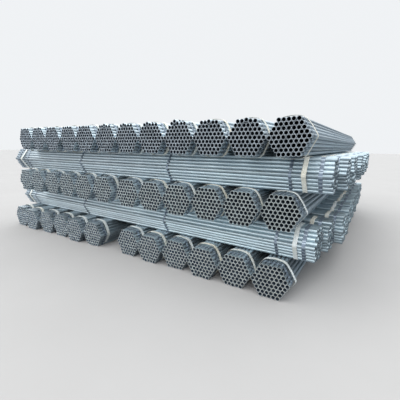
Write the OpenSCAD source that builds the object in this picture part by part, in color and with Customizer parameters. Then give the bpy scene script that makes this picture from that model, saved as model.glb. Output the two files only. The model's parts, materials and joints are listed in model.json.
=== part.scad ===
// A stack of galvanised steel tubes. Tubes are tied into hexagonal bundles, and the bundles lie in
// five layers: layers 1, 3 and 5 run from front to back, and layers 2 and 4 lie across them.
// X runs along the front of the stack, Y from front to back and Z up, in millimetres. The origin
// is the centre of the base.

/* [Tube] */
// Outside diameter of a tube
tube_od = 48.3; // [42:0.1:60]
// Wall thickness of a tube
tube_wall = 4; // [2:0.1:5]
// Length of a tube
tube_l = 6000; // [5000:10:7200]

/* [Bundle] */
// Tubes along each side of the hexagon
side_n = 5; // [4:1:6]
// Clearance between neighbouring tubes
tube_gap = 0.3; // [0.1:0.05:0.6]
// How far a tube may stand out of, or lie back from, the end of a bundle in layers 1, 3 and 5
end_play = 7; // [0:1:20]
// The same in layers 2 and 4
cross_end_play = 16; // [0:1:20]

/* [Steel straps] */
// Thickness of a strap
strap_t = 0.6; // [0.4:0.1:1]
// Width of a strap
strap_w = 32; // [12:1:40]
// Width of the strap nearest each end
end_strap_w = 40; // [20:1:40]
// Distance of the end straps from the ends of a bundle that runs from front to back
long_end_strap_at = 95; // [60:5:150]
// Distance of the end straps from the ends of a bundle that lies across
cross_end_strap_at = 118; // [60:1:200]
// Room between the slings and the next straps of a bundle that lies across
next_strap_room = 109; // [10:1:300]
// Distance of its middle straps from the ends
mid_strap_at = 2075; // [1500:5:2300]

/* [Lifting slings] */
// Thickness of a sling's webbing
sling_t = 2.6; // [1:0.1:4]
// Width of a sling's webbing
sling_w = 50; // [30:1:60]
// Room between an end strap and the sling behind it in layers 1, 3 and 5
long_sling_room = 25; // [5:1:60]
// Room between an end strap and the sling behind it in layer 2
layer_2_sling_room = 49; // [5:1:150]
// Room between an end strap and the sling behind it in layer 4
layer_4_sling_room = 112; // [5:1:150]
// How far a slack sling arches over a bundle that runs from front to back
sling_arch = 24; // [0:1:40]
// How far a slack sling hangs below a bundle of the top layer
sling_hang = 24; // [0:1:40]
// How far a slack sling stands out at the right and left sides of layers 1, 3 and 5
sling_out = 24; // [0:1:40]
// How far a slack sling stands out at the front of layer 4
layer_4_sling_out = 32; // [0:1:40]
// Clearance of straps and slings from the tubes
band_gap = 0.15; // [0.1:0.05:0.3]

/* [Stack] */
// Bundles in each layer, where the tubes are long enough to carry as many
layer_most = 12; // [4:1:12]
// How far the front of layer 2 lies behind the slings of the layers it touches
layer_2_behind = 35; // [20:5:110]
// How far the front of layer 4 lies behind the slings of the layers it touches
layer_4_behind = 45; // [20:5:110]
// Skew of layer 2, which takes its left end further back
layer_2_skew = 1.2; // [-2:0.1:2]
// Skew of layer 4, which takes its left end further back
layer_4_skew = -0.5; // [-2:0.1:2]
// Wide gap in the middle of layer 1
layer_1_middle = 367; // [0:1:400]
// Wide gap in the middle of layer 3
layer_3_middle = 120; // [0:1:400]

/* [Hidden] */
tube_colour = "#a8b8c0";
strap_colour = "#7d8a94";
sling_colour = "#d9d3bd";

// A bundle's own sizes
rows = side_n - 1;
pitch = tube_od + tube_gap;
corner_r = rows * pitch;
bundle_w = 2 * corner_r + tube_od;
bundle_h = 2 * corner_r * sin(60) + tube_od;

// Straps and slings lie pressed flat under the stack, between its layers and between neighbours
band_top = bundle_h / 2 + band_gap + strap_t;
band_side = bundle_w / 2 + band_gap + strap_t;
layer_rise = bundle_h + strap_t + 2 * band_gap;
bundle_step = 2 * band_side + band_gap;
layers_z = [for (layer = [0:4]) band_top + layer * layer_rise];

// Distance of each layer's end straps, slings and next straps from the ends of its bundles
end_strap_at = [for (layer = [0:4]) layer % 2 == 0 ? long_end_strap_at : cross_end_strap_at];
sling_room = [long_sling_room, layer_2_sling_room, long_sling_room, layer_4_sling_room, long_sling_room];
sling_at = [for (layer = [0:4])
    end_strap_at[layer] + end_strap_w / 2 + sling_room[layer] + sling_w / 2];
next_strap_at = max(sling_at[1], sling_at[3]) + sling_w / 2 + next_strap_room + strap_w / 2;

// How far layers 2 and 4 lie behind the front ends: their bundles lie between the slings at the
// front and those at the back
sling_end = sling_at[0] + sling_w / 2;
cross_skew = [0, layer_2_skew, 0, layer_4_skew, 0];
cross_in = [0, sling_end + layer_2_behind, 0, sling_end + layer_4_behind, 0];
cross_room = tube_l - 2 * max(cross_in) - tube_l * sin(max(abs(layer_2_skew), abs(layer_4_skew)));

// Bundles in each layer, and the number of them in its right or front node
layer_n = min(layer_most, floor(cross_room / bundle_step));
half_n = floor(layer_n / 2);

// Layers 1, 3 and 5, counted from the right: the middle of the first bundle, the slack between
// the bundles, and how far each one's front end lies back
long_right = [-100, 0, -46, 0, 0];
long_slack = [
    [9, 4, 5, 0, 4, layer_1_middle, 2, 0, 0, 4, 0],
    [],
    [3, 2, 0, 0, 1, layer_3_middle, 0, 1, 0, 0, 0],
    [],
    [8, 6, 1, 1, 1, 4, 6, 6, 1, 1, 1]
];
long_back = [
    [4, 36, 20, 70, 30, 64, 50, 14, 56, 48, 8, 54],
    [],
    [42, 8, 22, 7, 14, 16, 40, 24, 30, 36, 20, 44],
    [],
    [4, 6, 0, 8, 10, 14, 20, 12, 30, 24, 36, 42]
];

// The top layer's bundles: how far each is tipped with its right side up, and the tube of its
// top row that its two neighbours have squeezed up by closing in on it
top_lean = [3, 0.2, 0, 0, 0, 0.3, 0, 0, -0.3, 0, 0.2, 0];
raised_tube = [2, 2, 2, 1, 1, 1, 2, 3, 2, 1, 3, 2];
closed_in = [0, 1.5, 1, 7, 2.5, 1.5, 3, 0, 0.5, 0, 1, 0];

// Layers 2 and 4, counted from the front: the slack between the bundles, and how far each one's
// right end lies to the right
cross_slack = [1, 0, 2, 0, 1, 2, 0, 1, 0, 1, 0];
cross_right = [
    [],
    [300, 368, 480, 486, 470, 482, 474, 488, 464, 480, 472, 476],
    [],
    [400, 492, 520, 508, 560, 536, 572, 548, 580, 560, 540, 566]
];

// The straps between the end straps. A cross bundle has them at these distances from its right
// end, and a long one in these valleys between the cross bundles it lies on or under
cross_straps = [next_strap_at, mid_strap_at, tube_l - mid_strap_at, tube_l - next_strap_at];
strap_valleys = [round(layer_n / 3), round(layer_n * 3 / 4)];

// Axis of each tube as [across, up] from the middle of its bundle, row by row from the bottom
tube_axes = [for (row = [-rows:rows], i = [0:2 * rows - abs(row)])
    [(i - rows + abs(row) / 2) * pitch, row * pitch * sin(60)]];
top_row = len(tube_axes) - rows - 1;

// How far a squeezed-up tube's neighbours rise, rolling up over the row below as they close in,
// and how far the tube itself rises between them
function beside_rise(close) = sqrt(pow(pitch, 2) - pow(pitch / 2 - close, 2)) - pitch * sin(60);
function raised_rise(close) =
    close == 0 ? 0 : beside_rise(close) + sqrt(pow(pitch, 2) - pow(pitch - close, 2));

// Where the i-th tube of a bundle moves to when tube number raised of the top row is squeezed up
function shift(i, raised, close) =
    i == top_row + raised ? [0, raised_rise(close)]
    : close > 0 && i == top_row + raised - 1 ? [close, beside_rise(close)]
    : close > 0 && i == top_row + raised + 1 ? [-close, beside_rise(close)]
    : [0, 0];

// How far each tube of a bundle stands out along its length
function plays(b) = rands(-b[6], b[6], len(tube_axes), b[2]);

// Sum of the first n values of a list
function sum(list, n) = n == 0 ? 0 : list[n - 1] + sum(list, n - 1);

// A layer is a list of bundles, each [middle across, start along, seed, lean, raised, closed in,
// end play].
// In layers 2 and 4 "across" counts from the layer's front, and "along" goes leftwards.
function long_layer(layer) = [for (i = [0:layer_n - 1]) [
    long_right[layer] - i * bundle_step - sum(long_slack[layer], i), long_back[layer][i],
    100 * layer + i,
    layer == 4 ? top_lean[i] : 0, min(raised_tube[i], rows - 1), layer == 4 ? closed_in[i] : 0,
    end_play
]];
function cross_layer(layer) = [for (i = [0:layer_n - 1])
    let (across = (i + 0.5) * bundle_step + sum(cross_slack, i), skew = cross_skew[layer])
    [across, (across * sin(skew) - cross_right[layer][i]) / cos(skew), 100 * layer + i, 0, 0, 0,
        cross_end_play]];
layers = [for (layer = [0:4]) layer % 2 == 0 ? long_layer(layer) : cross_layer(layer)];

// The stack's extent along X and Y, from which its middle is found
function start_of(b) = b[1] + min(plays(b));
function end_of(b) = b[1] + tube_l + max(plays(b));
function cross_x(layer, along, across) =
    -along * cos(cross_skew[layer]) + across * sin(cross_skew[layer]);
right_ends = [for (layer = [1, 3], b = layers[layer]) cross_x(layer, start_of(b), b[0])];
left_ends = [for (layer = [1, 3], b = layers[layer]) cross_x(layer, end_of(b), b[0])];
front_ends = [for (layer = [0, 2, 4], b = layers[layer]) start_of(b)];
back_ends = [for (layer = [0, 2, 4], b = layers[layer]) end_of(b)];
mid_x = (max(right_ends) + min(left_ends)) / 2;
mid_y = (min(front_ends) + max(back_ends)) / 2;

// Distance of the k-th valley between the bundles of a cross layer behind y = 0, at x
function valley(layer, k, x) =
    cross_in[layer] + k * bundle_step + sum(cross_slack, k) - x * sin(cross_skew[layer]);

// How far the straps between a long bundle's end straps lie from its front end
function long_straps(layer, b) = [for (k = strap_valleys)
    (valley(max(layer - 1, 1), k, b[0]) + valley(min(layer + 1, 3), k, b[0])) / 2 - b[1]];

// A leaning bundle stands on the outer tube of its bottom row, which lifts its middle
function lean_lift(lean) = corner_r * (sin(abs(lean)) / 2 - sin(60) * (1 - cos(lean)));

// Puts what is made along +Y for one bundle in its place in a layer
module in_layer(layer, b) {
    translate([-mid_x, -mid_y, layers_z[layer]])
        if (layer % 2 == 0)
            translate([b[0], b[1], lean_lift(b[3])]) rotate([0, -b[3], 0]) children();
        else
            translate([0, cross_in[layer], 0]) rotate([0, 0, 90 - cross_skew[layer]])
                translate([b[0], b[1], 0]) children();
}

module tube() {
    rotate([-90, 0, 0]) difference() {
        cylinder(d = tube_od, h = tube_l, $fn = 32);
        translate([0, 0, -1]) cylinder(d = tube_od - 2 * tube_wall, h = tube_l + 2, $fn = 32);
    }
}

module bundle(b) {
    play = plays(b);
    for (i = [0:len(tube_axes) - 1]) {
        at = tube_axes[i] + shift(i, b[4], b[5]);
        translate([at[0], play[i], at[1]]) tube();
    }
}

// Tubes of the bundles numbered first to last in a layer
module tubes(layer, first, last) {
    color(tube_colour)
        for (i = [first:last]) in_layer(layer, layers[layer][i]) bundle(layers[layer][i]);
}

// Outline of a band round a bundle: a hexagon that clears the tubes by off, cut flat at its left
// and right corners, and pressed no further out than the straps below and at the sides. A slack
// band arches over the top, hangs below and stands out at its right and left sides. Any band
// rises to clear a squeezed-up tube.
function band_outline(b, off, arch, hang, right, left) =
    let (flank = bundle_h / 2 + off, pressed = min(flank, band_top))
    let (side = min(bundle_w / 2 + off, band_side), side_z = (flank - side * cos(30)) / sin(30))
    let (top = arch > 0 ? flank : pressed, top_x = (flank - top * sin(30)) / cos(30))
    let (foot = hang > 0 ? flank : pressed, foot_x = (flank - foot * sin(30)) / cos(30))
    let (out_x = (side + top_x) / 2 + arch / 2, out_z = (side_z + top + arch) / 2)
    let (peak_x = (b[4] - rows / 2) * pitch, peak = flank + max(raised_rise(b[5]), arch))
    concat(
        [[side + right, -side_z], [side + right, side_z]],
        arch > 0 ? [[out_x + right / 3, out_z]] : [],
        [[top_x + arch / 4, top + arch / 2]],
        arch + b[5] > 0 ? [[peak_x + tube_od / 4, peak], [peak_x - tube_od / 4, peak]] : [],
        [[-top_x - arch / 4, top + arch / 2]],
        arch > 0 ? [[-out_x - left / 3, out_z]] : [],
        [[-side - left, side_z], [-side - left, -side_z], [-foot_x - hang / 2, -foot - hang],
            [foot_x + hang / 2, -foot - hang]]
    );

// One turn of strap or webbing round a bundle, at a distance from its start
module band(b, at, w, t, arch = 0, hang = 0, right = 0, left = 0) {
    outer = band_outline(b, band_gap + t, arch, hang, right, left);
    inner = band_outline(b, band_gap, arch, hang, right, left);
    n = len(outer);
    translate([0, at, 0]) rotate([90, 0, 0]) linear_extrude(w, center = true)
        polygon(concat(outer, inner), paths = [[for (k = [0:n - 1]) k], [for (k = [0:n - 1]) n + k]]);
}

// The straps near a bundle's ends are on every bundle. Those between are on the bundles whose
// length can be seen: all of the top layer, and the outermost two of each other layer
module straps(layer) {
    end_at = end_strap_at[layer];
    color(strap_colour)
        for (i = [0:layer_n - 1]) {
            b = layers[layer][i];
            in_layer(layer, b) {
                for (at = [end_at, tube_l - end_at]) band(b, at, end_strap_w, strap_t);
                if (layer == 4 || i == 0 || i == layer_n - 1)
                    for (at = layer % 2 == 0 ? long_straps(layer, b) : cross_straps)
                        band(b, at, strap_w, strap_t);
            }
        }
}

module slings(layer) {
    long = layer % 2 == 0;
    at = sling_at[layer];
    color(sling_colour)
        for (i = [0:layer_n - 1]) {
            b = layers[layer][i];
            in_layer(layer, b)
                for (from_end = [at, tube_l - at])
                    band(b, from_end, sling_w, sling_t, long ? sling_arch : 0,
                        layer == 4 ? sling_hang : 0, long && i == 0 ? sling_out : 0,
                        long && i == layer_n - 1 ? sling_out
                            : layer == 3 && i == 0 ? layer_4_sling_out : 0);
        }
}

tubes(0, half_n, layer_n - 1);  // layer_1_left_tubes
tubes(0, 0, half_n - 1);  // layer_1_right_tubes
tubes(1, 0, half_n - 1);  // layer_2_front_tubes
tubes(1, half_n, layer_n - 1);  // layer_2_back_tubes
tubes(2, half_n, layer_n - 1);  // layer_3_left_tubes
tubes(2, 0, half_n - 1);  // layer_3_right_tubes
tubes(3, 0, half_n - 1);  // layer_4_front_tubes
tubes(3, half_n, layer_n - 1);  // layer_4_back_tubes
tubes(4, half_n, layer_n - 1);  // layer_5_left_tubes
tubes(4, 0, half_n - 1);  // layer_5_right_tubes
straps(0);  // layer_1_straps
straps(1);  // layer_2_straps
straps(2);  // layer_3_straps
straps(3);  // layer_4_straps
straps(4);  // layer_5_straps
slings(0);  // layer_1_slings
slings(1);  // layer_2_slings
slings(2);  // layer_3_slings
slings(3);  // layer_4_slings
slings(4);  // layer_5_slings
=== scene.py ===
import json
import math
from collections import namedtuple

import bpy
import numpy as np
from mathutils import Matrix, Vector


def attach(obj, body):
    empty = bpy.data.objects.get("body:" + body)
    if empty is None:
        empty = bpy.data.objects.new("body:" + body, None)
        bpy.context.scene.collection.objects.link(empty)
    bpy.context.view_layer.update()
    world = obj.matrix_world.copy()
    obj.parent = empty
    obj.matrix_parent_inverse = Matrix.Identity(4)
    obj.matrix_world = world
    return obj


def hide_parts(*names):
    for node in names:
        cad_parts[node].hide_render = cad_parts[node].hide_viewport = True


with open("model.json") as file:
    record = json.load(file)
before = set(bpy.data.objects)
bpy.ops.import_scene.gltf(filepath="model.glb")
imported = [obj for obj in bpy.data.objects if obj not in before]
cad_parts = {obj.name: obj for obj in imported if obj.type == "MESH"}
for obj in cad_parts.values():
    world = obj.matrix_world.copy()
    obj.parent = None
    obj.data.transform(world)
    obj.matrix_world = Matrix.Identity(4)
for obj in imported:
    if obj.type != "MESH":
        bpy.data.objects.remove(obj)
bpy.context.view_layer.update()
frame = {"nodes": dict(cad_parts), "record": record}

NODES = frame["nodes"]
MOUNTS = {m["name"]: Vector(m["pos_m"]) for m in frame["record"]["mounts"]}
LAYERS = range(1, 6)
LONG = (1, 3, 5)          # the layers that run from front to back

# Sizes in metres
TUBE_OD, TUBE_GAP = 0.0483, 0.0003
TUBE_PITCH = TUBE_OD + TUBE_GAP
HALF_STACK = 3.0          # how far the painted shade and other colour changes along X reach from the middle
SLING_T, SLING_W = 0.0026, 0.050
SLING_BEND = 0.0248       # radius where a sling turns round a bundle's corner tube
LONG_SLING_SLACK = 0.10   # radius above and below, where the slings of the long layers hang loose
SLING_STEP, SLING_DRIFT = 0.012, 0.004
RIB_PITCH, YARN_PITCH = 0.0032, 0.0050
STRAP_T, STRAP_BEND, STRAP_STEP = 0.0006, 0.0246, 0.04
SEAL_RISE, SEAL_OVERHANG, SEAL_SHIFT = 0.0022, 0.0012, 0.03

Band = namedtuple("Band", "middle axis side up width outline")


# ---------------------------------------------------------------- shader helpers

def set_stops(ramp, stops):
    """Gives a colour ramp its stops, each a place and a colour."""
    elements = ramp.color_ramp.elements
    while len(elements) < len(stops):
        elements.new(0.5)
    for element, (at, colour) in zip(elements, stops):
        element.position = at
        element.color = (*colour, 1.0)


def scaled(colour, factor):
    """The colour made lighter or darker, no channel over 1."""
    return tuple(min(1, factor * channel) for channel in colour)


class Nodes:
    """A material's node tree, with short calls to add and join nodes."""

    def __init__(self, name):
        self.material = bpy.data.materials.new(name)
        self.material.use_nodes = True
        self.tree = self.material.node_tree
        self.shader = self.tree.nodes["Principled BSDF"]

    def add(self, kind, **values):
        """A new node, with its properties or input values set by name."""
        node = self.tree.nodes.new(kind)
        for key, value in values.items():
            if hasattr(node, key):
                setattr(node, key, value)
            else:
                node.inputs[key.replace("_", " ")].default_value = value
        return node

    def join(self, output, target):
        self.tree.links.new(output, target)
        return output

    def place(self, scale, kind="Object"):
        """Object coordinates, or another set, stretched by scale."""
        coords = self.add("ShaderNodeTexCoord")
        mapping = self.add("ShaderNodeMapping")
        mapping.inputs["Scale"].default_value = scale
        self.join(coords.outputs[kind], mapping.inputs["Vector"])
        return mapping.outputs["Vector"]

    def noise(self, place, scale, detail=3.0, rough=0.55):
        node = self.add("ShaderNodeTexNoise", Scale=scale, Detail=detail, Roughness=rough)
        self.join(place, node.inputs["Vector"])
        return node.outputs["Fac"]

    def along_x(self, left, right):
        """A value that runs from the stack's left end to its right end."""
        coords, split = self.add("ShaderNodeTexCoord"), self.add("ShaderNodeSeparateXYZ")
        self.join(coords.outputs["Object"], split.inputs[0])
        return self.span(split.outputs["X"], left, right, -HALF_STACK, HALF_STACK)

    def cells(self, place, scale):
        """A random colour for each cell of a crystal-like pattern."""
        node = self.add("ShaderNodeTexVoronoi", Scale=scale)
        self.join(place, node.inputs["Vector"])
        return node.outputs["Color"]

    def ramp(self, value, stops):
        node = self.add("ShaderNodeValToRGB")
        set_stops(node, stops)
        self.join(value, node.inputs["Fac"])
        return node.outputs["Color"]

    def span(self, value, low, high, from_low=0.0, from_high=1.0):
        """The value's run from from_low to from_high, made a run from low to high."""
        node = self.add("ShaderNodeMapRange")
        for key, number in zip(("From Min", "From Max", "To Min", "To Max"),
                               (from_low, from_high, low, high)):
            node.inputs[key].default_value = number
        self.join(value, node.inputs["Value"])
        return node.outputs["Result"]

    def math(self, operation, a, b=0):
        node = self.add("ShaderNodeMath", operation=operation)
        for socket, value in zip(node.inputs, (a, b)):
            if isinstance(value, (int, float)):
                socket.default_value = value
            else:
                self.join(value, socket)
        return node.outputs["Value"]

    def mix(self, fac, a, b, blend="MIX"):
        node = self.add("ShaderNodeMix", data_type="RGBA", blend_type=blend)
        for socket, value in ((node.inputs[0], fac), (node.inputs[6], a), (node.inputs[7], b)):
            if isinstance(value, (int, float)):
                socket.default_value = value
            elif isinstance(value, tuple):
                socket.default_value = (*value, 1.0)
            else:
                self.join(value, socket)
        return node.outputs[2]

    def bump(self, height, strength, distance):
        node = self.add("ShaderNodeBump", Strength=strength, Distance=distance)
        self.join(height, node.inputs["Height"])
        self.join(node.outputs["Normal"], self.shader.inputs["Normal"])

    def finish(self, colour, rough, **constants):
        """The material, with its colour and roughness joined and other values set."""
        self.join(colour, self.shader.inputs["Base Color"])
        self.join(rough, self.shader.inputs["Roughness"])
        for key, value in constants.items():
            self.shader.inputs[key.replace("_", " ")].default_value = value
        return self.material


# ---------------------------------------------------------------- materials

def galvanised(name, along, tint, x_darkening):
    """Zinc-coated tube wall: each tube its own tone, fine spangle, drawn streaks and white bloom.

    The stops given last are painted shade, what the colour is multiplied by from the stack's left end to
    its right end.
    """
    m = Nodes(name)
    stretched = m.place((0.5, 45, 45) if along == "x" else (45, 0.5, 45))
    even = m.place((1, 1, 1))
    island = m.add("ShaderNodeNewGeometry").outputs["Random Per Island"]
    tone = m.ramp(island, [(0.0, scaled(tint, 0.66)), (0.4, tint),
                           (0.75, scaled(tint, 1.14)), (1.0, scaled(tint, 0.84))])
    spangle = m.ramp(m.cells(even, 75), [(0.2, (0.86, 0.86, 0.87)), (0.8, (1, 1, 1))])
    colour = m.mix(0.8, tone, spangle, "MULTIPLY")
    streaks = m.ramp(m.noise(stretched, 1.0, 5, 0.6), [(0.36, (0.66, 0.69, 0.72)), (0.56, (1, 1, 1))])
    colour = m.mix(0.55, colour, streaks, "MULTIPLY")
    bloom = m.ramp(m.noise(even, 2.3, 4), [(0.55, (0, 0, 0)), (0.8, (1, 1, 1))])
    colour = m.mix(m.math("MULTIPLY", bloom, 0.35), colour, (0.80, 0.84, 0.86))
    # Painted shade: the wall is darkened by its place from the stack's left end to its right end
    colour = m.mix(1.0, colour, m.ramp(m.along_x(0.0, 1.0), x_darkening), "MULTIPLY")
    rough = m.span(m.noise(stretched, 1.4, 3), 0.34, 0.52)
    m.bump(m.math("ADD", m.noise(stretched, 2.0, 4), m.noise(even, 160, 2)), 0.08, 0.0004)
    return m.finish(colour, rough, Metallic=0.9)


def cut_end(name, tint):
    """Sawn ring at a tube's end: bright scratched metal, with a dull one here and there."""
    m = Nodes(name)
    even = m.place((1, 1, 1))
    tone = m.ramp(m.noise(even, 14, 2), [(0.35, scaled(tint, 0.80)), (0.65, tint)])
    scratch = m.ramp(m.noise(m.place((500, 40, 160)), 1.0, 3),
                     [(0.3, (0.7, 0.7, 0.72)), (0.7, (1, 1, 1))])
    rough = m.span(m.noise(even, 120, 2), 0.36, 0.6)
    m.bump(m.noise(m.place((900, 60, 300)), 1.0, 2), 0.3, 0.0003)
    # Painted light and shade: the rings are lighter at the stack's left end and darker towards its right
    # end
    colour = m.mix(1.0, m.mix(0.6, tone, scratch, "MULTIPLY"), m.along_x(1.0, 0.64), "MULTIPLY")
    return m.finish(colour, rough, Metallic=0.2)


def bore(name, light):
    """Inner wall: painted shade, dark and dull all over, with a lighter mottle at random."""
    m = Nodes(name)
    even = m.place((1, 1, 1))
    # Painted shade: the inner wall is dark all over, standing in for the shade deep inside the tube
    colour = m.ramp(m.noise(even, 9, 3), [(0.35, scaled((0.12, 0.16, 0.23), light)),
                                           (0.7, scaled((0.20, 0.25, 0.32), light))])
    # Painted light and shade: the bore is lighter at the stack's left end and darker towards its right end
    colour = m.mix(1.0, colour, m.along_x(1.0, 0.3), "MULTIPLY")
    return m.finish(colour, m.span(m.noise(even, 60, 2), 0.5, 0.75), Metallic=0.2)


def strap_steel():
    """Zinc-coated strap: blue-grey, scuffed along its length, rubbed and painted with a highlight over
    each tube.
    """
    m = Nodes("strap_steel")
    uv = m.place((6, 300, 1), "UV")
    even = m.place((1, 1, 1))
    scuff = m.noise(uv, 1.0, 4)
    colour = m.ramp(scuff, [(0.3, (0.20, 0.24, 0.30)), (0.55, (0.32, 0.38, 0.46)),
                            (0.8, (0.50, 0.57, 0.66))])
    stain = m.ramp(m.noise(even, 7, 3), [(0.42, (0.74, 0.72, 0.69)), (0.6, (1, 1, 1))])
    split = m.add("ShaderNodeSeparateXYZ")
    m.join(m.place((1, 1, 1), "UV"), split.inputs[0])
    # Painted highlight and rub wear: a lighter stripe where the strap crosses each tube, standing in for
    # its glint
    glint_and_rub = m.math("SINE", m.math("MULTIPLY", split.outputs[0], 2 * math.pi / TUBE_PITCH))
    dull = m.mix(0.4, m.mix(0.7, colour, stain, "MULTIPLY"), (0.38, 0.44, 0.52), "MULTIPLY")
    colour = m.mix(m.span(glint_and_rub, 0.0, 0.8, 0.35, 0.95), dull, (0.60, 0.68, 0.76))
    x_darkening = m.ramp(m.along_x(0.0, 1.0), [(0.0, (0.8, 0.8, 0.8)), (1.0, (1, 1, 1))])
    colour = m.mix(1.0, colour, x_darkening, "MULTIPLY")
    m.bump(scuff, 0.2, 0.0003)
    return m.finish(colour, m.span(m.noise(even, 90, 2), 0.36, 0.55), Metallic=0.7)


def webbing():
    """Woven polyester webbing: ribs across, stitched edges, handling dirt."""
    m = Nodes("sling_webbing_woven")
    uv = m.place((1, 1, 1), "UV")
    split = m.add("ShaderNodeSeparateXYZ")
    m.join(uv, split.inputs[0])
    along, across = split.outputs[0], split.outputs[1]
    ribs = m.math("SINE", m.math("MULTIPLY", along, 2 * math.pi / RIB_PITCH))
    yarns = m.math("SINE", m.math("MULTIPLY", across, 2 * math.pi / YARN_PITCH))
    weave = m.math("MULTIPLY", ribs, yarns)
    off_middle = m.math("ABSOLUTE", m.math("SUBTRACT", across, SLING_W / 2))
    seam = m.span(off_middle, 1.0, 0.78, 0.40 * SLING_W, 0.48 * SLING_W)
    even = m.place((1, 1, 1))
    colour = m.ramp(m.noise(even, 5, 4), [(0.3, (0.74, 0.73, 0.66)), (0.5, (0.90, 0.90, 0.86)),
                                           (0.72, (0.96, 0.97, 0.96))])
    island = m.add("ShaderNodeNewGeometry").outputs["Random Per Island"]
    batch = m.ramp(island, [(0.0, (1, 1, 1)), (0.45, (0.90, 0.94, 0.97)), (0.8, (1, 0.97, 0.90)),
                            (1.0, (1, 0.93, 0.82))])
    colour = m.mix(1.0, colour, batch, "MULTIPLY")
    colour = m.mix(m.span(weave, 0.0, 0.28, -1, 1), colour, (0.62, 0.59, 0.51))
    colour = m.mix(m.span(seam, 0.4, 0.0), colour, (0.45, 0.40, 0.30))
    m.bump(weave, 0.5, 0.0008)
    return m.finish(colour, m.span(m.noise(even, 300, 2), 0.75, 0.95), Sheen_Weight=0.25,
                    Sheen_Roughness=0.5)


def floor_finish():
    """Pale floor, but darker to the light that would bounce off it onto the stack."""
    m = Nodes("floor_finish")
    even = m.place((1, 1, 1))
    seen = m.ramp(m.noise(even, 0.7, 4), [(0.3, (0.455, 0.435, 0.425)), (0.7, (0.475, 0.455, 0.445))])
    direct = m.add("ShaderNodeLightPath").outputs["Is Camera Ray"]
    colour = m.mix(direct, (0.26, 0.27, 0.28), seen)
    return m.finish(colour, m.span(m.noise(even, 3, 2), 0.85, 0.95), Specular_IOR_Level=0.1)


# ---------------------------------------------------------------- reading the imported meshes

def mesh_arrays(mesh):
    """A triangle mesh's points, and the three corners of each triangle."""
    points = np.empty(len(mesh.vertices) * 3, np.float32)
    mesh.vertices.foreach_get("co", points)
    corners = np.empty(len(mesh.polygons) * 3, np.int32)
    mesh.polygons.foreach_get("vertices", corners)
    return points.reshape(-1, 3).astype(float), corners.reshape(-1, 3)


def solids(points, corners):
    """A number for each triangle, the same all over one solid."""
    _, vertex = np.unique(points.round(5), axis=0, return_inverse=True)
    corners = vertex.reshape(-1)[corners]
    label = np.arange(corners.max() + 1)
    while True:
        least = label[corners].min(axis=1)
        new = label.copy()
        for k in range(3):
            np.minimum.at(new, corners[:, k], least)
        new = new[new]
        if (new == label).all():
            return label[corners[:, 0]]
        label = new


def hull(points):
    """Corners of the smallest convex outline of 2-D points, anticlockwise."""
    points = sorted(set(map(tuple, points.round(6))))

    def half(run):
        chain = []
        for p in run:
            while len(chain) > 1 and (
                (chain[-1][0] - chain[-2][0]) * (p[1] - chain[-2][1])
                - (chain[-1][1] - chain[-2][1]) * (p[0] - chain[-2][0])
            ) <= 1e-9:
                chain.pop()
            chain.append(p)
        return chain[:-1]

    return np.array(half(points) + half(points[::-1]))


def bands(node):
    """Each band of a node: its middle, the bundle's axis and two directions across it, the band's
    width along the axis, and its outline round it."""
    points, corners = mesh_arrays(NODES[node].data)
    label = solids(points, corners)
    found = []
    for n in np.unique(label):
        own = points[np.unique(corners[label == n])]
        middle = (own.min(axis=0) + own.max(axis=0)) / 2
        values, vectors = np.linalg.eigh(np.cov((own - middle).T))
        axis = vectors[:, 0]
        axis = axis * np.sign(axis[1] if abs(axis[1]) > 0.5 else -axis[0])
        side = np.cross(axis, (0, 0, 1))
        side /= np.linalg.norm(side)
        up = np.cross(side, axis)
        at = (own - middle) @ axis
        outline = hull(np.stack([(own - middle) @ side, (own - middle) @ up], axis=1))
        found.append(Band(middle, axis, side, up, at.max() - at.min(), outline))
    return found


# ---------------------------------------------------------------- tubes

def dress_tubes(node, wall, end, inner):
    """Gives the walls, the sawn ends and the bores of a node's tubes a material each."""
    mesh = NODES[node].data
    points, corners = mesh_arrays(mesh)
    label = solids(points, corners)
    normals = np.empty(len(corners) * 3, np.float32)
    mesh.polygons.foreach_get("normal", normals)
    normals = normals.reshape(-1, 3)
    # The long side of the first triangle runs along the tubes
    first = points[corners[0]]
    axis = max((first[1] - first[0], first[2] - first[0]), key=np.linalg.norm)
    axis = np.array([0.0, 1.0, 0.0]) if abs(axis[1]) > abs(axis[0]) else axis / np.linalg.norm(axis)
    # From each tube's middle out to each triangle, across the tube
    centres = points[corners].mean(axis=1)
    _, number = np.unique(label, return_inverse=True)
    low = np.full((number.max() + 1, 3), np.inf)
    high = -low
    for k in range(3):
        np.minimum.at(low, number, points[corners[:, k]])
        np.maximum.at(high, number, points[corners[:, k]])
    middle = (low + high)[number] / 2
    out = centres - middle
    out -= (out @ axis)[:, None] * axis
    faces_in = (out * normals).sum(axis=1) < 0
    kind = np.where(np.abs(normals @ axis) > 0.9, 1, np.where(faces_in, 2, 0))
    mesh.materials.clear()
    for material in (wall, end, inner):
        mesh.materials.append(material)
    mesh.polygons.foreach_set("material_index", kind.astype(np.int32))


# ---------------------------------------------------------------- bands

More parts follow.
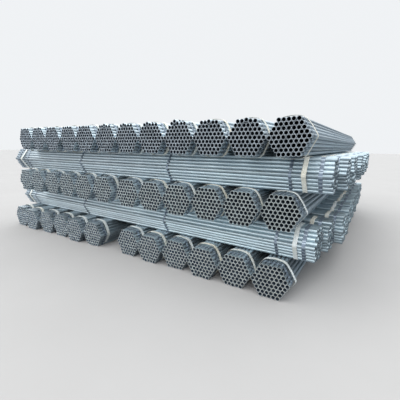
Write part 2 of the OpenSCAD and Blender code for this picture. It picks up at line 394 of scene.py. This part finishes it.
def rounded(outline, radius, slack_radius):
    """The outline with its corners turned into arcs, wider ones above and below where it is slack."""
    n = len(outline)
    half_width = np.abs(outline[:, 0]).max()
    path = []
    for i, corner in enumerate(outline):
        before, after = outline[i - 1] - corner, outline[(i + 1) % n] - corner
        reach_a, reach_b = np.linalg.norm(before), np.linalg.norm(after)
        before, after = before / reach_a, after / reach_b
        turn = math.pi - math.acos(max(-1, min(1, float(before @ after))))
        if turn < math.radians(1):
            path.append(corner)
            continue
        r = slack_radius if abs(corner[0]) < 0.95 * half_width else radius
        cut = min(r * math.tan(turn / 2), 0.48 * min(reach_a, reach_b))
        r = cut / math.tan(turn / 2)
        inward = before + after
        inward /= np.linalg.norm(inward)
        centre = corner + inward * r / math.cos(turn / 2)
        start, end = corner + before * cut - centre, corner + after * cut - centre
        steps = max(2, int(math.degrees(turn) / 7))
        a0, a1 = math.atan2(start[1], start[0]), math.atan2(end[1], end[0])
        sweep = (a1 - a0 + math.pi) % (2 * math.pi) - math.pi
        for k in range(steps + 1):
            a = a0 + sweep * k / steps
            path.append(centre + r * np.array([math.cos(a), math.sin(a)]))
    return np.array(path)


def resampled(path, step):
    """The closed path with no stretch longer than step."""
    out = []
    for a, b in zip(path, np.roll(path, -1, axis=0)):
        gap = np.linalg.norm(b - a)
        if gap < 1e-5:
            continue
        count = max(1, math.ceil(gap / step))
        for k in range(count):
            out.append(a + (b - a) * k / count)
    return np.array(out)


class Soup:
    """Vertices, faces and UVs gathered into one mesh."""

    def __init__(self):
        self.vertices, self.faces, self.uvs = [], [], []

    def loop(self, rings, lengths, section_v):
        """Closed band: its sections, one after the other round it, joined in a circle."""
        start, n, m = len(self.vertices), len(rings), len(rings[0])
        for ring in rings:
            self.vertices.extend(ring)
        for i in range(n):
            j = (i + 1) % n
            u0, u1 = lengths[i], lengths[i + 1]
            for k in range(m):
                l = (k + 1) % m
                v0, v1 = section_v[k], section_v[l]
                self.faces.append(tuple(start + at for at in (i * m + k, i * m + l, j * m + l, j * m + k)))
                self.uvs.extend([(u0, v0), (u0, v1), (u1, v1), (u1, v0)])

    def build(self, name, material, smooth):
        mesh = bpy.data.meshes.new(name)
        mesh.from_pydata([tuple(v) for v in self.vertices], [], self.faces)
        layer = mesh.uv_layers.new(name="UVMap")
        layer.data.foreach_set("uv", np.array(self.uvs, np.float32).reshape(-1))
        mesh.polygons.foreach_set("use_smooth", [smooth] * len(mesh.polygons))
        mesh.materials.append(material)
        mesh.validate()
        mesh.update()
        piece = bpy.data.objects.new(name, mesh)
        bpy.context.scene.collection.objects.link(piece)
        return piece


def band_rings(band, thickness, section, radius, slack_radius, step, seed, drift):
    """Sweeps a section of (along the axis, outwards) points round a band's own outline."""
    path = resampled(rounded(band.outline, radius, slack_radius), step)
    ahead, behind = np.roll(path, -1, axis=0), np.roll(path, 1, axis=0)
    tangent = ahead - behind
    tangent /= np.linalg.norm(tangent, axis=1)[:, None]
    normal = np.stack([tangent[:, 1], -tangent[:, 0]], axis=1)
    steps = np.linalg.norm(ahead - path, axis=1)
    lengths = np.concatenate([[0], np.cumsum(steps)])
    total = lengths[-1]
    shift = np.random.RandomState(seed).uniform(-1, 1, 4)
    rings = []
    for i, p in enumerate(path):
        t = 2 * math.pi * lengths[i] / total
        wander = drift * (shift[0] * math.sin(t + 3 * shift[1])
                          + 0.4 * shift[2] * math.sin(2 * t + shift[3]))
        ring = []
        for a, o in section:
            q = p + normal[i] * (o - thickness)
            ring.append(band.middle + band.side * q[0] + band.up * q[1]
                        + band.axis * (a * band.width + wander))
        rings.append(ring)
    return rings, lengths


# Sections of the bands: shares of the width along the axis, and metres outwards
SLING_SECTION = [(-0.5, 0.0006), (-0.5, 0.0020), (-0.47, 0.0026), (-0.2, 0.0024), (0.2, 0.0024),
                 (0.47, 0.0026), (0.5, 0.0020), (0.5, 0.0006), (0.47, 0.0), (-0.47, 0.0)]
STRAP_SECTION = [(-0.5, 0.0), (-0.5, STRAP_T), (0.5, STRAP_T), (0.5, 0.0)]
# A seal: places along the strap with the share of its width there, narrow where it is crimped, and
# its section as shares of half its width and of its rise
SEAL_STATIONS = [(-0.019, 1.0), (-0.011, 1.0), (-0.008, 0.82), (-0.004, 0.82), (-0.001, 1.0), (0.001, 1.0),
                 (0.004, 0.82), (0.008, 0.82), (0.011, 1.0), (0.019, 1.0)]
SEAL_SECTION = [(-1, 0), (-0.96, 1), (0.96, 1), (1, 0)]


def make_slings(layer, material):
    """The layer's slings, in place of the plain bands."""
    node = f"layer_{layer}_slings"
    slack_radius = LONG_SLING_SLACK if layer in LONG else SLING_BEND
    soup = Soup()
    for i, band in enumerate(bands(node)):
        rings, lengths = band_rings(band, SLING_T, SLING_SECTION, SLING_BEND, slack_radius, SLING_STEP,
                                    100 * layer + i, SLING_DRIFT)
        soup.loop(rings, lengths, [SLING_W * (a + 0.5) for a, _ in SLING_SECTION])
    piece = soup.build(f"webbing_slings_{layer}", material, True)
    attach(piece, "root")
    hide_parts(node)
    return piece


def seal(soup, band, on_right):
    """Crimped seal folded over a strap, on its upper flank on the right or on the left."""
    runs = zip(band.outline, np.roll(band.outline, -1, axis=0))
    flanks = [(a, b) for a, b in runs
              if np.linalg.norm(b - a) > 0.08 and 0.3 < abs((b - a)[1]) / np.linalg.norm(b - a) < 0.95
              and (a + b)[1] > 0]
    a, b = (max if on_right else min)(flanks, key=lambda run: (run[0] + run[1])[0])
    along = (b - a) / np.linalg.norm(b - a)
    out = np.array([along[1], -along[0]])
    centre = (a + b) / 2 + along * SEAL_SHIFT
    half = band.width / 2 + SEAL_OVERHANG
    start, m, last = len(soup.vertices), len(SEAL_SECTION), len(SEAL_STATIONS) - 1
    for at, share in SEAL_STATIONS:
        for across, o in SEAL_SECTION:
            q = centre + along * at + out * (SEAL_RISE * o)
            soup.vertices.append(band.middle + band.side * q[0] + band.up * q[1]
                                 + band.axis * (across * half * share))
    for i in range(last):
        u0, u1 = SEAL_STATIONS[i][0], SEAL_STATIONS[i + 1][0]
        for k in range(m):
            l = (k + 1) % m
            v0, v1 = k / 60, (k + 1) / 60
            corners = (i * m + k, i * m + l, (i + 1) * m + l, (i + 1) * m + k)
            soup.faces.append(tuple(start + c for c in corners))
            soup.uvs.extend([(u0, v0), (u0, v1), (u1, v1), (u1, v0)])
    for i, turn in ((0, -1), (last, 1)):
        soup.faces.append(tuple(start + i * m + k for k in range(m)[::turn]))
        soup.uvs.extend([(0, 0)] * m)


def make_straps(layer, material):
    """The layer's straps with their seals, in place of the plain bands."""
    node = f"layer_{layer}_straps"
    soup = Soup()
    for i, band in enumerate(bands(node)):
        rings, lengths = band_rings(band, STRAP_T, STRAP_SECTION, STRAP_BEND, STRAP_BEND, STRAP_STEP,
                                    7 * layer + i, 0.0)
        soup.loop(rings, lengths, [band.width * (a + 0.5) for a, _ in STRAP_SECTION])
        seal(soup, band, layer in LONG)
    piece = soup.build(f"steel_straps_{layer}", material, False)
    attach(piece, "root")
    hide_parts(node)
    return piece


# ---------------------------------------------------------------- the stack

# What the walls' colours are multiplied by from the left end (0) to the right end (1), as painted shade:
# the long layers' right-hand bundles are darker, and so are both ends of the cross layers.
LONG_PAINTED_SHADE = [(0.0, (1, 1, 1)), (0.87, (0.94, 0.95, 0.96)), (0.905, (0.60, 0.615, 0.63)),
              (1.0, (0.60, 0.615, 0.63))]
CROSS_PAINTED_SHADE = [(0.0, (0.58, 0.61, 0.65)), (0.10, (0.87, 0.87, 0.88)), (0.45, (0.93, 0.94, 0.95)),
               (0.80, (0.92, 0.98, 1)), (1.0, (0.77, 0.82, 0.85))]

# Each layer's walls, sawn ends, and how light the painted shade of its bores is
# Partly painted light and shade: each layer's tints are lighter or darker for how light falls on it
LAYER_TINTS_AND_SHADE = {
    5: ((0.74, 0.82, 0.86), (0.74, 0.81, 0.87), 0.6),
    4: ((0.65, 0.715, 0.74), (0.62, 0.70, 0.76), 1.0),
    3: ((0.76, 0.84, 0.88), (0.89, 0.96, 0.93), 1.0),
    2: ((0.78, 0.855, 0.875), (0.70, 0.78, 0.82), 1.0),
    1: ((0.66, 0.73, 0.765), (0.95, 1.0, 0.95), 1.5),
}

for layer in LAYERS:
    lengthwise = layer in LONG
    wall_tint_and_shade, end_tint_and_shade, bore_shade_lightness = LAYER_TINTS_AND_SHADE[layer]
    wall = galvanised(f"galvanised_wall_{layer}", "y" if lengthwise else "x", wall_tint_and_shade,
                      LONG_PAINTED_SHADE if lengthwise else CROSS_PAINTED_SHADE)
    end = cut_end(f"sawn_end_{layer}", end_tint_and_shade)
    inner = bore(f"bore_painted_shade_{layer}", bore_shade_lightness)
    for part in (("left", "right") if lengthwise else ("front", "back")):
        dress_tubes(f"layer_{layer}_{part}_tubes", wall, end, inner)
steel, cloth = strap_steel(), webbing()
for layer in LAYERS:
    make_straps(layer, steel)
    make_slings(layer, cloth)


# ---------------------------------------------------------------- floor, light and camera

FLOOR_RADIUS, FLOOR_DROP, FLOOR_CORNERS = 90, 0.0005, 36
SENSOR_WIDTH, LENS = 36, 25.52                  # millimetres
VIEW_YAW, VIEW_PITCH, VIEW_ROLL = 31.67, 10.81, 0.63
VIEW_OFFSET = Vector((0.7541, -2.8492, -0.0905))
BACKDROP = (0.87, 0.89, 0.91)


def make_floor():
    """A wide round floor just under the stack."""
    mesh = bpy.data.meshes.new("studio_floor")
    turns = [2 * math.pi * k / FLOOR_CORNERS for k in range(FLOOR_CORNERS)]
    ring = [(FLOOR_RADIUS * math.cos(a), FLOOR_RADIUS * math.sin(a), -FLOOR_DROP) for a in turns]
    mesh.from_pydata(ring, [], [tuple(range(FLOOR_CORNERS))])
    mesh.materials.append(floor_finish())
    floor = bpy.data.objects.new("studio_floor", mesh)
    bpy.context.scene.collection.objects.link(floor)


def soft_sun(name, toward, strength, spread, colour):
    """A distant lamp, its light spread over a wide angle so that shadows stay soft."""
    light = bpy.data.lights.new(name, "SUN")
    light.energy, light.angle, light.color = strength, math.radians(spread), colour
    lamp = bpy.data.objects.new(name, light)
    lamp.rotation_euler = Vector(toward).to_track_quat("-Z", "Y").to_euler()
    bpy.context.scene.collection.objects.link(lamp)


def sky_slope(world, towards, stops):
    """Light that grows with how far a direction points towards the given one."""
    nodes, links = world.node_tree.nodes, world.node_tree.links
    coords, slope = nodes.new("ShaderNodeTexCoord"), nodes.new("ShaderNodeVectorMath")
    slope.operation = "DOT_PRODUCT"
    slope.inputs[1].default_value = towards
    ramp = nodes.new("ShaderNodeValToRGB")
    set_stops(ramp, stops)
    links.new(coords.outputs["Generated"], slope.inputs[0])
    links.new(slope.outputs["Value"], ramp.inputs["Fac"])
    return ramp.outputs["Color"]


def light_studio():
    """A bright ceiling that falls off to dim walls, a wide soft box high behind, and soft lamps in
    front and above. The camera sees a plain pale backdrop."""
    world = bpy.data.worlds.new("studio")
    world.use_nodes = True
    nodes, links = world.node_tree.nodes, world.node_tree.links
    ceiling = sky_slope(world, (-0.20, 0.10, 1.0),
                        [(0.0, (0.12, 0.16, 0.22)), (0.30, (0.58, 0.66, 0.73)), (0.48, (0.92, 1.0, 1.05))])
    behind = sky_slope(world, (-0.05, 0.60, 0.80), [(0.74, (0, 0, 0)), (0.84, (0.95, 0.96, 0.95))])
    both, path, pick = (nodes.new(kind) for kind in
                        ("ShaderNodeMix", "ShaderNodeLightPath", "ShaderNodeMix"))
    both.data_type = pick.data_type = "RGBA"
    both.blend_type = "ADD"
    both.inputs[0].default_value = 1.0
    pick.inputs[7].default_value = (*BACKDROP, 1)
    links.new(ceiling, both.inputs[6])
    links.new(behind, both.inputs[7])
    links.new(path.outputs["Is Camera Ray"], pick.inputs[0])
    links.new(both.outputs[2], pick.inputs[6])
    links.new(pick.outputs[2], nodes["Background"].inputs["Color"])
    bpy.context.scene.world = world
    soft_sun("key", (0.35, 0.85, -0.80), 1.85, 110, (1.0, 0.99, 0.97))
    soft_sun("fill", (-0.3, 0.85, -0.4), 0.45, 50, (0.96, 0.98, 1.0))
    soft_sun("ceiling", (0.1, 0.25, -1.0), 0.4, 100, (0.97, 0.99, 1.0))


def make_camera():
    """The photo's view, placed from the middle tube of the top right bundle and the height of the
    fifth one."""
    front, level = MOUNTS["top_bore_1"], MOUNTS["top_bore_5"].z
    yaw, pitch, roll = (math.radians(a) for a in (VIEW_YAW, VIEW_PITCH, VIEW_ROLL))
    ahead = Vector((-math.sin(yaw), math.cos(yaw), 0))
    right = Vector((math.cos(yaw), math.sin(yaw), 0))
    up = Vector((0, 0, 1))
    look = math.cos(pitch) * ahead - math.sin(pitch) * up
    top = math.sin(pitch) * ahead + math.cos(pitch) * up
    turned = math.cos(roll) * right + math.sin(roll) * top
    top = -math.sin(roll) * right + math.cos(roll) * top
    data = bpy.data.cameras.new("view")
    data.sensor_width, data.lens = SENSOR_WIDTH, LENS
    data.clip_start, data.clip_end = 0.05, 300
    camera = bpy.data.objects.new("view", data)
    turn = Matrix((turned, top, -look)).transposed().to_4x4()
    camera.matrix_world = Matrix.Translation(Vector((front.x, front.y, level)) + VIEW_OFFSET) @ turn
    bpy.context.scene.collection.objects.link(camera)
    bpy.context.scene.camera = camera


make_floor()
light_studio()
make_camera()
bpy.context.scene.view_settings.view_transform = "Standard"
